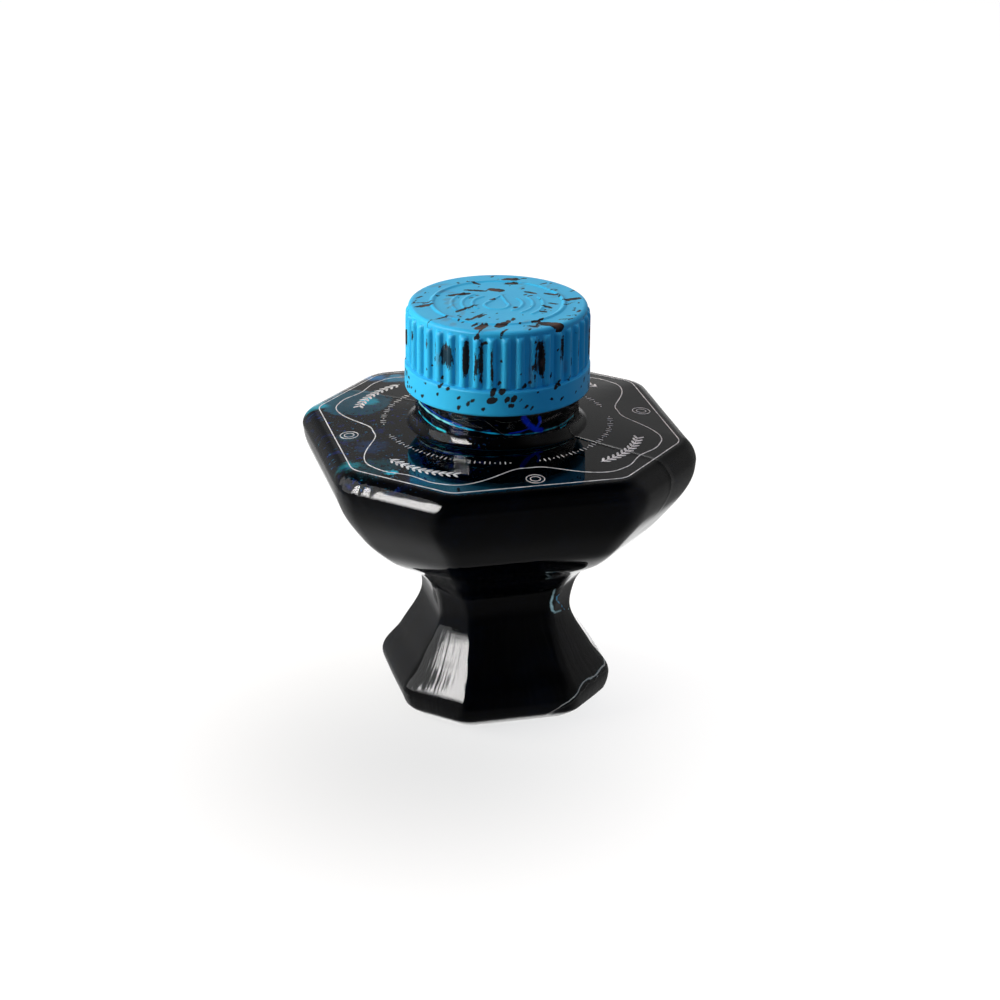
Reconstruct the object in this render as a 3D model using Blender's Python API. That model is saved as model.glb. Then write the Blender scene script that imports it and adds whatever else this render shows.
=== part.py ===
"""Ink bottle: an eight-sided glass bottle on a waisted foot, filled with ink, under a ribbed screw cap.

Metres, +Z up. The origin is the centre of the standing ring. Flat facets face +X, +Y, -X and -Y, and
narrower diagonal facets stand between them. The cap turns and rises on a right-hand thread about Z.
"""

import math

import bmesh
import bpy

MM = 0.001

# The glass outside, bottom to top. Each station is a height, the distance from the axis to a main
# facet, and the distance from the axis to a diagonal facet.
BODY_STATIONS = (
    (0.0 * MM, 17.6 * MM, 19.5 * MM),  # edge of the standing ring
    (3.1 * MM, 20.7 * MM, 22.6 * MM),
    (5.6 * MM, 21.3 * MM, 22.9 * MM),  # widest part of the foot
    (11.8 * MM, 17.6 * MM, 19.2 * MM),
    (20.7 * MM, 13.4 * MM, 15.4 * MM),  # narrowest part of the waist
    (25.2 * MM, 14.1 * MM, 16.3 * MM),
    (30.2 * MM, 17.2 * MM, 19.6 * MM),
    (35.6 * MM, 24.8 * MM, 27.3 * MM),
    (40.9 * MM, 29.9 * MM, 32.2 * MM),
    (50.0 * MM, 35.0 * MM, 38.3 * MM),
    (53.7 * MM, 35.7 * MM, 39.3 * MM),  # widest part of the bowl
)
# Rounding of the eight upright edges: a height and a radius.
EDGE_ROUNDING = (
    (0.0 * MM, 5.3 * MM),
    (20.7 * MM, 2.4 * MM),
    (40.9 * MM, 5.8 * MM),
    (53.7 * MM, 7.4 * MM),
)
LEAST_ROUNDING = 1.5 * MM
RIM_TOP = 56.9 * MM
RIM_INSET = 2.6 * MM
BODY_ROWS = 20
CAVITY_ROWS = 15

# Rings over the shoulder, from the rim to the foot of the neck.
SHOULDER_SHARES = (0.12, 0.55, 1.0)
NECK_FOOT = RIM_TOP + 1.0 * MM
FILLET_FOOT_RADIUS = 18.0 * MM
BEAD_RADIUS = 16.05 * MM
BEAD_BOTTOM = 60.6 * MM
BEAD_TOP = 66.2 * MM
NECK_RADIUS = 14.9 * MM
BORE_RADIUS = 12.6 * MM
LIP_TOP = 77.9 * MM
LIP_ROUND = 0.8 * MM
MOUTH_CHAMFER = 0.5 * MM

WALL = 2.4 * MM
FLOOR_TOP = 2.8 * MM
FLOOR_ROUND = 3.0 * MM
ROOF_BOTTOM = 54.4 * MM
ROOF_ROUND = 2.2 * MM
BORE_FLARE = 1.2 * MM
BORE_FOOT = 2.0 * MM
PUNT_RADIUS = 12.0 * MM
PUNT_DEPTH = 0.8 * MM
STANDING_INNER_SHARE = 0.35
STANDING_EDGE = 0.6 * MM

GAP = 0.3 * MM
INK_LEVEL = 60.0 * MM

# Screw thread, shared by the neck and the cap.
THREAD_PITCH = 4.233 * MM
THREAD_START = 68.6 * MM
THREAD_CREST_RADIUS = 16.0 * MM
THREAD_BASE_HALF = 0.95 * MM
THREAD_CREST_HALF = 0.35 * MM
THREAD_EMBED = 0.4 * MM
THREAD_FLARE = 0.3 * MM
THREAD_FADE_STEPS = 4
NECK_THREAD_TURNS = (0.0, 1.5)
CAP_THREAD_TURNS = (0.15, 1.4)
CAP_THREAD_CREST_RADIUS = 15.3 * MM

CAP_BOTTOM = 65.3 * MM
CAP_TOP = 82.1 * MM
CAP_BORE_RADIUS = 16.4 * MM
CAP_CEILING = 79.9 * MM
BAND_RADIUS = 18.1 * MM
BAND_TOP = 70.3 * MM
BAND_STEP = 0.25 * MM
CAP_FOOT_CHAMFER = 0.3 * MM
CAP_MOUTH_CHAMFER = 0.3 * MM
CAP_CEILING_CHAMFER = 0.5 * MM
RIB_COUNT = 40
RIB_CREST_RADIUS = 17.95 * MM
RIB_VALLEY_RADIUS = 17.3 * MM
RIB_BOTTOM = 70.6 * MM
RIB_TOP = 80.2 * MM
# Each rib ends in a dome: a share of its depth, and how far from its end, in shares of the dome.
RIB_DOME = 0.8 * MM
DOME_STEPS = ((0.0, 0.0), (0.7, 0.3), (1.0, 1.0))
# Across one rib, in shares of the pitch, and how far each point stands out, in shares of the depth.
RIB_SECTION = ((-0.27, 0.0), (-0.12, 0.92), (0.12, 0.92), (0.27, 0.0))
CAP_EDGE_ROUND = 1.3 * MM
TOP_RING_RADIUS = 12.8 * MM
TOP_RING_HALF_WIDTH = 0.5 * MM
TOP_RING_HEIGHT = 0.25 * MM
# Across the raised ring from its outside, in shares of its half width, and its height there.
TOP_RING_SECTION = ((1.0, 0.0), (0.4, 1.0), (-0.4, 1.0), (-1.0, 0.0))

LINER_RADIUS = 15.6 * MM
LINER_BOTTOM = LIP_TOP + GAP
LINER_TOP = CAP_CEILING - GAP
LINER_CHAMFER = 0.2 * MM

FACETS = 8
ARC_STEPS = 3
RING_POINTS = FACETS * (ARC_STEPS + 2)


def clear_scene():
    for item in list(bpy.data.objects):
        bpy.data.objects.remove(item, do_unlink=True)


def material(name, colour, roughness, transmission=0.0, ior=1.5):
    """A Principled material with the given colour and roughness."""
    made = bpy.data.materials.new(name)
    made.use_nodes = True
    shader = made.node_tree.nodes["Principled BSDF"]
    shader.inputs["Base Color"].default_value = (*colour, 1.0)
    shader.inputs["Roughness"].default_value = roughness
    shader.inputs["Metallic"].default_value = 0.0
    shader.inputs["Transmission Weight"].default_value = transmission
    shader.inputs["IOR"].default_value = ior
    made.diffuse_color = (*colour, 1.0)
    return made


def through(stations, column):
    """A smooth curve through one column of the stations, with no overshoot between them."""
    xs = [station[0] for station in stations]
    ys = [station[column] for station in stations]
    secants = [(ys[i + 1] - ys[i]) / (xs[i + 1] - xs[i]) for i in range(len(xs) - 1)]
    slopes = [secants[0]]
    for before, after in zip(secants, secants[1:]):
        turns = before * after <= 0.0
        slopes.append(0.0 if turns else 2.0 * before * after / (before + after))
    slopes.append(secants[-1])

    def value(x):
        i = max(0, min(len(xs) - 2, sum(x >= start for start in xs) - 1))
        width = xs[i + 1] - xs[i]
        t = max(0.0, min(1.0, (x - xs[i]) / width))
        start = (1.0 + 2.0 * t) * (1.0 - t) ** 2 * ys[i] + t * (1.0 - t) ** 2 * width * slopes[i]
        end = t * t * (3.0 - 2.0 * t) * ys[i + 1] - t * t * (1.0 - t) * width * slopes[i + 1]
        return start + end

    return value


FLAT_AT = through(BODY_STATIONS, 1)
DIAGONAL_AT = through(BODY_STATIONS, 2)
ROUND_AT = through(EDGE_ROUNDING, 1)
BOWL_TOP = BODY_STATIONS[-1][0]


def octagon(height, inset=0.0):
    """A ring on the body's eight-sided section at this height, moved in by inset."""
    level = min(height, BOWL_TOP)
    apothems = (FLAT_AT(level) - inset, DIAGONAL_AT(level) - inset)
    # The inside is rounded a little less than the outside, as the glass gathers in the corners.
    radius = max(ROUND_AT(level) - 0.5 * inset, LEAST_ROUNDING)
    turn = math.radians(45.0)
    ring = []
    for facet in range(FACETS):
        angle = facet * turn
        this, following = apothems[facet % 2], apothems[(facet + 1) % 2]
        ring.append((this * math.cos(angle), this * math.sin(angle), height))
        # The centre of the rounding lies one radius inside both facets.
        inner, outer = this - radius, following - radius
        along = (outer - inner * math.cos(turn)) / math.sin(turn)
        cx = inner * math.cos(angle) - along * math.sin(angle)
        cy = inner * math.sin(angle) + along * math.cos(angle)
        for step in range(ARC_STEPS + 1):
            phi = angle + turn * step / ARC_STEPS
            ring.append((cx + radius * math.cos(phi), cy + radius * math.sin(phi), height))
    return ring


def circle(radius, height, count=RING_POINTS):
    """A round ring."""
    steps = [2.0 * math.pi * i / count for i in range(count)]
    return [(radius * math.cos(a), radius * math.sin(a), height) for a in steps]


def mixed(first, second, share):
    """A ring part of the way from one ring to another."""
    return [
        tuple(a + (b - a) * share for a, b in zip(start, end)) for start, end in zip(first, second)
    ]


def quarter(count):
    """Sine and cosine pairs over a quarter turn, without its start."""
    angles = [0.5 * math.pi * (i + 1) / count for i in range(count)]
    return [(math.sin(a), math.cos(a)) for a in angles]


def loft(name, rings, finish, smooth_angle=40.0):
    """One closed body skinned over the rings, with its first and last ring filled."""
    mesh = bpy.data.meshes.new(name)
    bm = bmesh.new()
    rows = [[bm.verts.new(point) for point in ring] for ring in rings]
    for lower, upper in zip(rows, rows[1:]):
        for i in range(len(lower)):
            j = (i + 1) % len(lower)
            bm.faces.new((lower[i], lower[j], upper[j], upper[i]))
    bm.faces.new(reversed(rows[0]))
    bm.faces.new(rows[-1])
    bm.to_mesh(mesh)
    bm.free()
    mesh.materials.append(finish)
    mesh.shade_smooth()
    mesh.set_sharp_from_angle(angle=math.radians(smooth_angle))
    made = bpy.data.objects.new(name, mesh)
    bpy.context.scene.collection.objects.link(made)
    return made


def thread_ridge(name, root_radius, crest_radius, start_height, turns, finish):
    """A helical ridge between two radii that fades in and out over its first and last steps."""
    inward = math.copysign(1.0, root_radius - crest_radius)
    buried = root_radius + inward * THREAD_EMBED
    first, last = (round(turn * RING_POINTS) for turn in turns)
    mesh = bpy.data.meshes.new(name)
    bm = bmesh.new()
    rows = []
    for step in range(first, last + 1):
        angle = 2.0 * math.pi * step / RING_POINTS
        middle = start_height + THREAD_PITCH * step / RING_POINTS
        steps_in = min(step - first, last - step) + 0.5
        share = min(1.0, steps_in / THREAD_FADE_STEPS)
        crest = root_radius + (crest_radius - root_radius) * share
        base_half = THREAD_BASE_HALF + THREAD_FLARE * share
        section = (
            (buried, -base_half),
            (crest, -THREAD_CREST_HALF),
            (crest, THREAD_CREST_HALF),
            (buried, base_half),
        )
        rows.append(
            [
                bm.verts.new((r * math.cos(angle), r * math.sin(angle), middle + dz))
                for r, dz in section
            ]
        )
    for row, following in zip(rows, rows[1:]):
        for i in range(4):
            j = (i + 1) % 4
            bm.faces.new((row[i], row[j], following[j], following[i]))
    bm.faces.new(rows[0])
    bm.faces.new(rows[-1])
    bmesh.ops.recalc_face_normals(bm, faces=bm.faces)
    bm.to_mesh(mesh)
    bm.free()
    mesh.materials.append(finish)
    ridge = bpy.data.objects.new(name, mesh)
    bpy.context.scene.collection.objects.link(ridge)
    ridge.hide_render = True
    ridge.display_type = "WIRE"
    return ridge


def join_ridge(piece, ridge):
    union = piece.modifiers.new("thread", "BOOLEAN")
    union.operation = "UNION"
    union.solver = "EXACT"
    union.object = ridge


def body_outside():
    """Rings from the hollow under the foot up the outer wall to the lip of the neck."""
    rings = [
        circle(PUNT_RADIUS, PUNT_DEPTH),
        mixed(circle(PUNT_RADIUS, 0.0), octagon(0.0), STANDING_INNER_SHARE),
        octagon(0.0, STANDING_EDGE),
    ]
    for row in range(BODY_ROWS):
        rings.append(octagon(BOWL_TOP * (row + 1) / BODY_ROWS))
    for rise, side in quarter(4):
        height = BOWL_TOP + (RIM_TOP - BOWL_TOP) * rise
        rings.append(octagon(height, RIM_INSET * (1.0 - side)))
    rim = rings[-1]
    fillet_foot = circle(FILLET_FOOT_RADIUS, NECK_FOOT)
    for share in SHOULDER_SHARES:
        rings.append(mixed(rim, fillet_foot, share))
    for sweep, side in quarter(3):
        radius = FILLET_FOOT_RADIUS - (FILLET_FOOT_RADIUS - BEAD_RADIUS) * sweep
        rings.append(circle(radius, BEAD_BOTTOM - (BEAD_BOTTOM - NECK_FOOT) * side))
    rings.append(circle(BEAD_RADIUS, BEAD_TOP - (BEAD_RADIUS - NECK_RADIUS)))
    rings.append(circle(NECK_RADIUS, BEAD_TOP))
    rings.append(circle(NECK_RADIUS, LIP_TOP - LIP_ROUND))
    for rise, side in quarter(3):
        radius = NECK_RADIUS - LIP_ROUND * (1.0 - side)
        rings.append(circle(radius, LIP_TOP - LIP_ROUND * (1.0 - rise)))
    return rings


def cavity(inset):
    """Rings down the inside of the bottle from the underside of the neck bore to the floor.

    The inset moves the whole surface inwards, for the liquid that fills it.
    """
    roof = ROOF_BOTTOM - inset
    floor = FLOOR_TOP + inset
    wall = WALL + inset
    bore = BORE_RADIUS - inset
    edge = octagon(roof, wall + ROOF_ROUND)
    rings = [circle(bore, roof + BORE_FOOT), circle(bore + BORE_FLARE, roof), edge]
    for sweep, side in quarter(3):
        height = roof - ROOF_ROUND * (1.0 - side)
        rings.append(octagon(height, wall + ROOF_ROUND * (1.0 - sweep)))
    upper, lower = roof - ROOF_ROUND, floor + FLOOR_ROUND
    for row in range(1, CAVITY_ROWS + 1):
        rings.append(octagon(upper + (lower - upper) * row / CAVITY_ROWS, wall))
    for sweep, side in quarter(3):
        height = lower - FLOOR_ROUND * sweep
        rings.append(octagon(height, wall + FLOOR_ROUND * (1.0 - side)))
    return rings


def glass_bottle():
    finish = material("clear_glass", (0.96, 0.98, 0.98), 0.0, transmission=1.0, ior=1.52)
    lip_inside = circle(BORE_RADIUS + MOUTH_CHAMFER, LIP_TOP)
    mouth = circle(BORE_RADIUS, LIP_TOP - MOUTH_CHAMFER)
    rings = body_outside() + [lip_inside, mouth] + cavity(0.0)
    bottle = loft("glass_bottle", rings, finish)
    ridge = thread_ridge(
        "neck_thread", NECK_RADIUS, THREAD_CREST_RADIUS, THREAD_START, NECK_THREAD_TURNS, finish
    )
    join_ridge(bottle, ridge)
    return bottle


def ink_fill():
    finish = material("ink", (0.005, 0.008, 0.02), 0.05)
    rings = [circle(BORE_RADIUS - GAP, INK_LEVEL)] + cavity(GAP)
    return loft("ink_fill", rings[::-1], finish)


def rib_ring(height, share):
    """A ring of upright ribs that stand out by this share of their full depth."""
    ring = []
    pitch = 2.0 * math.pi / RIB_COUNT
    depth = RIB_CREST_RADIUS - RIB_VALLEY_RADIUS
    for rib in range(RIB_COUNT):
        for place, stand in RIB_SECTION:
            angle = (rib + place) * pitch
            radius = RIB_VALLEY_RADIUS + depth * stand * share
            ring.append((radius * math.cos(angle), radius * math.sin(angle), height))
    return ring


def plain_ring(radius, height):
    """A round ring with the same points as a ring of ribs."""
    return [
        (x * radius / math.hypot(x, y), y * radius / math.hypot(x, y), height)
        for x, y, _ in rib_ring(height, 0.0)
    ]


def cap_outside():
    """Rings from the bottom edge up the band and the ribs, and over the raised ring on top."""
    rings = [
        plain_ring(BAND_RADIUS - CAP_FOOT_CHAMFER, CAP_BOTTOM),
        plain_ring(BAND_RADIUS, CAP_BOTTOM + CAP_FOOT_CHAMFER),
        plain_ring(BAND_RADIUS, BAND_TOP - BAND_STEP),
        plain_ring(BAND_RADIUS - BAND_STEP, BAND_TOP),
    ]
    for share, along in DOME_STEPS:
        rings.append(rib_ring(RIB_BOTTOM + RIB_DOME * along, share))
    for share, along in reversed(DOME_STEPS):
        rings.append(rib_ring(RIB_TOP - RIB_DOME * along, share))
    for rise, side in quarter(3):
        height = CAP_TOP - CAP_EDGE_ROUND * (1.0 - rise)
        rings.append(plain_ring(RIB_VALLEY_RADIUS - CAP_EDGE_ROUND * (1.0 - side), height))
    for across, rise in TOP_RING_SECTION:
        radius = TOP_RING_RADIUS + across * TOP_RING_HALF_WIDTH
        rings.append(plain_ring(radius, CAP_TOP + rise * TOP_RING_HEIGHT))
    return rings


def cap_shell():
    finish = material("cap_plastic", (0.07, 0.45, 0.70), 0.38)
    rings = [
        plain_ring(CAP_BORE_RADIUS - CAP_CEILING_CHAMFER, CAP_CEILING),
        plain_ring(CAP_BORE_RADIUS, CAP_CEILING - CAP_CEILING_CHAMFER),
        plain_ring(CAP_BORE_RADIUS, CAP_BOTTOM + CAP_MOUTH_CHAMFER),
        plain_ring(CAP_BORE_RADIUS + CAP_MOUTH_CHAMFER, CAP_BOTTOM),
    ]
    cap = loft("cap_shell", rings + cap_outside(), finish)
    ridge = thread_ridge(
        "cap_thread",
        CAP_BORE_RADIUS,
        CAP_THREAD_CREST_RADIUS,
        THREAD_START - 0.5 * THREAD_PITCH,
        CAP_THREAD_TURNS,
        finish,
    )
    join_ridge(cap, ridge)
    return cap


def cap_liner():
    finish = material("liner_foam", (0.85, 0.85, 0.82), 0.7)
    rings = [
        circle(LINER_RADIUS - LINER_CHAMFER, LINER_BOTTOM),
        circle(LINER_RADIUS, LINER_BOTTOM + LINER_CHAMFER),
        circle(LINER_RADIUS, LINER_TOP - LINER_CHAMFER),
        circle(LINER_RADIUS - LINER_CHAMFER, LINER_TOP),
    ]
    return loft("cap_liner", rings, finish)


def main():
    clear_scene()
    glass_bottle()
    ink_fill()
    cap_shell()
    cap_liner()


main()
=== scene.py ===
import math

import bmesh
import bpy
import numpy as np
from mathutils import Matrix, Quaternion, Vector
from mathutils.bvhtree import BVHTree


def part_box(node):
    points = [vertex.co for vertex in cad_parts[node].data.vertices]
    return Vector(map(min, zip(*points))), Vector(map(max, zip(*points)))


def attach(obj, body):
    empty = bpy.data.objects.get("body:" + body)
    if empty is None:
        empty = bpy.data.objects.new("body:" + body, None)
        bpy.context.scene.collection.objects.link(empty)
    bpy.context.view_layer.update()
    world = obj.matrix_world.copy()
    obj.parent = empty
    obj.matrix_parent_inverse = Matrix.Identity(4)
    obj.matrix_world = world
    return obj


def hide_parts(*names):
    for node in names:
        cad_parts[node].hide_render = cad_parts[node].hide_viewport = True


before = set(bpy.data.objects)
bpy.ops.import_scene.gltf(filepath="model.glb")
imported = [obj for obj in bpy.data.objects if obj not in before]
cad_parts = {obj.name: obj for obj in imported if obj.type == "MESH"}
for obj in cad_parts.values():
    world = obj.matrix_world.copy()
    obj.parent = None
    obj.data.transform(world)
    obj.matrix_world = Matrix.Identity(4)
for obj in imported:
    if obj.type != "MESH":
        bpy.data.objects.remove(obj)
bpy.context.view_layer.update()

MM = 0.001

# ---------------------------------------------------------------- sizes taken from the frame

GLASS_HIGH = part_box("glass_bottle")[1]
INK_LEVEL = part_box("ink_fill")[1].z
CAP_LOW, CAP_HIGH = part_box("cap_shell")
LINER_LOW, LINER_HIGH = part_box("cap_liner")

FLAT_REACH = GLASS_HIGH.x
LIP_TOP = GLASS_HIGH.z
CAP_RADIUS = CAP_HIGH.x
CAP_BOTTOM = CAP_LOW.z

# ---------------------------------------------------------------- the bottle's design, as in the CAD


def in_metres(rows):
    return [tuple(value * MM for value in row) for row in rows]


# A height, the distance from the axis to a main facet, and the distance to a diagonal facet.
BODY_STATIONS = in_metres((
    (0.0, 17.6, 19.5), (3.1, 20.7, 22.6), (5.6, 21.3, 22.9), (11.8, 17.6, 19.2),
    (20.7, 13.4, 15.4), (25.2, 14.1, 16.3), (30.2, 17.2, 19.6), (35.6, 24.8, 27.3),
    (40.9, 29.9, 32.2), (50.0, 35.0, 38.3),
)) + [(53.7 * MM, FLAT_REACH, 39.3 * MM)]
# A height and the radius that rounds the eight upright edges there.
EDGE_ROUNDING = in_metres(((0.0, 5.3), (20.7, 2.4), (40.9, 5.8), (53.7, 7.4)))
LEAST_ROUNDING = 1.5 * MM
BOWL_TOP = BODY_STATIONS[-1][0]
RIM_TOP = 56.9 * MM
RIM_INSET = 2.6 * MM
# The rim of the diagonal facets rounds in further, and starts lower.
DIAGONAL_RIM_START = 50.8 * MM
DIAGONAL_RIM_INSET = 4.3 * MM
NECK_FOOT = RIM_TOP + 1.0 * MM
FILLET_FOOT_RADIUS = 18.0 * MM
BEAD_RADIUS = 16.05 * MM
BEAD_BOTTOM = 60.6 * MM
BEAD_TOP = 66.2 * MM
NECK_RADIUS = 14.9 * MM
BORE_RADIUS = 12.6 * MM
LIP_ROUND = 0.8 * MM
MOUTH_ROUND = 0.5 * MM
WALL = 2.4 * MM
FLOOR_TOP = 2.8 * MM
FLOOR_ROUND = 3.0 * MM
ROOF_BOTTOM = 54.4 * MM
ROOF_ROUND = 2.2 * MM
BORE_FOOT = 2.0 * MM
BORE_FLARE = 1.2 * MM
PUNT_RADIUS = 12.0 * MM
PUNT_DEPTH = 0.8 * MM

THREAD_PITCH = 4.233 * MM
THREAD_START = 68.6 * MM
THREAD_DEPTH = 1.1 * MM
THREAD_HALF = 1.15 * MM
THREAD_FADE = 0.09
NECK_THREAD_TURNS = (0.0, 1.5)
CAP_THREAD_TURNS = (0.15, 1.4)

CAP_TOP = 82.1 * MM
CAP_BORE_RADIUS = 16.4 * MM
CAP_CEILING = 79.9 * MM
BAND_TOP = 70.3 * MM
RIB_COUNT = 40
RIB_CREST_RADIUS = 17.95 * MM
RIB_VALLEY_RADIUS = 17.3 * MM
RIB_BOTTOM = 70.5 * MM
RIB_TOP = 80.9 * MM
RIB_DOME = 1.0 * MM
CAP_EDGE_ROUND = 0.8 * MM
TOP_RING_RADIUS = 12.8 * MM
TOP_RING_HALF_WIDTH = 0.55 * MM
TOP_RING_HEIGHT = 0.25 * MM

# ---------------------------------------------------------------- the view

VIEW_AZIMUTH = math.radians(14.33)
VIEW_ELEVATION = math.radians(23.27)
VIEW_DISTANCE = 0.5782
VIEW_TARGET = Vector((0.0, 0.0, 0.0362))
VIEW_ROLL = math.radians(0.55)
LENS = 104.35
VIEW_SHIFT = (0.00405, 0.0206)
# The object's own angle, in degrees, of the side that faces the camera.
FRONT = 255.67


def smooth_through(stations, column):
    """A smooth curve through one column of the stations, with no overshoot between them."""
    xs = [station[0] for station in stations]
    ys = [station[column] for station in stations]
    secants = [(ys[i + 1] - ys[i]) / (xs[i + 1] - xs[i]) for i in range(len(xs) - 1)]
    slopes = [secants[0]]
    for before, after in zip(secants, secants[1:]):
        turns = before * after <= 0.0
        slopes.append(0.0 if turns else 2.0 * before * after / (before + after))
    slopes.append(secants[-1])

    def value(x):
        i = max(0, min(len(xs) - 2, sum(x >= start for start in xs) - 1))
        width = xs[i + 1] - xs[i]
        t = max(0.0, min(1.0, (x - xs[i]) / width))
        start = (1.0 + 2.0 * t) * (1.0 - t) ** 2 * ys[i] + t * (1.0 - t) ** 2 * width * slopes[i]
        end = t * t * (3.0 - 2.0 * t) * ys[i + 1] - t * t * (1.0 - t) * width * slopes[i + 1]
        return start + end

    return value


FLAT_AT = smooth_through(BODY_STATIONS, 1)
DIAGONAL_AT = smooth_through(BODY_STATIONS, 2)
ROUND_AT = smooth_through(EDGE_ROUNDING, 1)

FACETS = 8
ARC_STEPS = 8
SEAM_HALF_SHARE = 0.012
FLAT_SHARES = sorted([i / 12 for i in range(1, 12)] + [0.5 - SEAM_HALF_SHARE, 0.5 + SEAM_HALF_SHARE])
FACET_POINTS = len(FLAT_SHARES) + ARC_STEPS + 1
RING_POINTS = FACETS * FACET_POINTS
# The mould's two halves meet in the middle of these two diagonal facets.
SEAM_COLUMNS = [facet * FACET_POINTS + FLAT_SHARES.index(0.5) for facet in (3, 7)]
SEAM_LIFTS = (0.012 * MM, 0.055 * MM)
# The middle of each facet of the foot stands out this far.
FOOT_BULGE = 0.13 * MM


def eight_sided(flat, diagonal, radius):
    """The plan of an eight-sided section with rounded corners, as x and y."""
    apothems = (flat, diagonal)
    turn = math.radians(45.0)
    arcs = []
    for facet in range(FACETS):
        angle = facet * turn
        this, following = apothems[facet % 2], apothems[(facet + 1) % 2]
        inner, outer = this - radius, following - radius
        along = (outer - inner * math.cos(turn)) / math.sin(turn)
        centre = np.array(
            [
                inner * math.cos(angle) - along * math.sin(angle),
                inner * math.sin(angle) + along * math.cos(angle),
            ]
        )
        phi = angle + turn * np.arange(ARC_STEPS + 1) / ARC_STEPS
        arcs.append(centre + radius * np.stack([np.cos(phi), np.sin(phi)], 1))
    shares = np.array(FLAT_SHARES)[:, None]
    parts = []
    for facet in range(FACETS):
        start, end = arcs[facet - 1][-1], arcs[facet][0]
        parts.append(start + (end - start) * shares)
        parts.append(arcs[facet])
    return np.concatenate(parts)


def at_height(plan, height):
    return np.column_stack([plan, np.full(len(plan), height)])


def octagon(height, inset=0.0, diagonal_inset=None):
    """A ring on the body's eight-sided section at this height, moved in by inset."""
    level = max(0.0, min(height, BOWL_TOP))
    radius = max(ROUND_AT(level) - 0.5 * inset, LEAST_ROUNDING)
    if diagonal_inset is None:
        diagonal_inset = inset
    plan = eight_sided(FLAT_AT(level) - inset, DIAGONAL_AT(level) - diagonal_inset, radius)
    return at_height(plan, height)


def quarter_inset(height, start, inset):
    """How far a quarter-round edge from start up to the top of the rim has come in at this height."""
    t = max(0.0, min(1.0, (height - start) / (RIM_TOP - start)))
    return inset * (1.0 - math.sqrt(1.0 - t * t))


def ring_angles():
    """The angle of each point of a round ring, so that it lines up with an eight-sided one."""
    flats = (np.array(FLAT_SHARES) - 0.5) * 22.5
    arcs = 11.25 + 22.5 * np.arange(ARC_STEPS + 1) / ARC_STEPS
    facet = np.concatenate([flats, arcs])
    return np.radians(np.concatenate([45.0 * i + facet for i in range(FACETS)]))


RING_ANGLES = ring_angles()


def circle(radius, height):
    """A round ring. Its points line up with those of an eight-sided ring."""
    plan = radius * np.stack([np.cos(RING_ANGLES), np.sin(RING_ANGLES)], 1)
    return at_height(plan, height)


def polar(radius, degrees):
    turn = np.radians(degrees)
    return np.stack([radius * np.cos(turn), radius * np.sin(turn)], -1)


def mixed(first, second, share):
    return first + (second - first) * share


def quarter(count):
    """Sine and cosine pairs over a quarter turn, without its start."""
    angles = 0.5 * np.pi * np.arange(1, count + 1) / count
    return list(zip(np.sin(angles), np.cos(angles)))


def smoothstep(low, high, value):
    t = np.clip((value - low) / (high - low), 0.0, 1.0)
    return t * t * (3.0 - 2.0 * t)


def lattice_noise(points, size, seed):
    """Smooth noise from -1 to 1 at these points, with features of about this size."""
    scaled = points / size
    cell = np.floor(scaled).astype(np.int64)
    part = scaled - cell
    part = part * part * (3.0 - 2.0 * part)
    total = np.zeros(len(points))
    for corner in np.ndindex(2, 2, 2):
        at = cell + np.array(corner)
        mixed_bits = at[:, 0] * 374761393 + at[:, 1] * 668265263 + at[:, 2] * 2246822519 + seed * 974711
        mixed_bits = ((mixed_bits ^ (mixed_bits >> 13)) * 1274126177) & 0xFFFFFFFF
        value = ((mixed_bits ^ (mixed_bits >> 16)) & 0xFFFF) / 32767.5 - 1.0
        weight = np.where(corner, part, 1.0 - part).prod(1)
        total += weight * value
    return total


def add_object(name, mesh, body, materials):
    made = bpy.data.objects.new(name, mesh)
    bpy.context.scene.collection.objects.link(made)
    mesh.materials.clear()
    for material in materials:
        mesh.materials.append(material)
    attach(made, body)
    return made


def skin(name, rings, smooth_angle=180.0):
    """One closed mesh over the rings, its first and last ring closed by a fan to their middle."""
    count = len(rings[0])
    points = np.concatenate([*rings, [rings[0].mean(0)], [rings[-1].mean(0)]])
    first_middle, last_middle = len(points) - 2, len(points) - 1
    last = (len(rings) - 1) * count
    faces = []
    for row in range(len(rings) - 1):
        lower, upper = row * count, (row + 1) * count
        for i in range(count):
            j = (i + 1) % count
            faces.append((lower + i, lower + j, upper + j, upper + i))
    for i in range(count):
        j = (i + 1) % count
        faces.append((first_middle, j, i))
        faces.append((last_middle, last + i, last + j))
    mesh = bpy.data.meshes.new(name)
    mesh.from_pydata(points.tolist(), [], faces)
    mesh.shade_smooth()
    if smooth_angle < 180.0:
        mesh.set_sharp_from_angle(angle=math.radians(smooth_angle))
    return mesh


def mesh_points(mesh):
    points = np.empty(len(mesh.vertices) * 3, np.float32)
    mesh.vertices.foreach_get("co", points)
    return points.reshape(-1, 3).astype(np.float64)


def set_attribute(mesh, name, values):
    attribute = mesh.attributes.new(name, "FLOAT", "POINT")
    attribute.data.foreach_set("value", values.astype(np.float32))


# ---------------------------------------------------------------- node helpers


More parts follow.
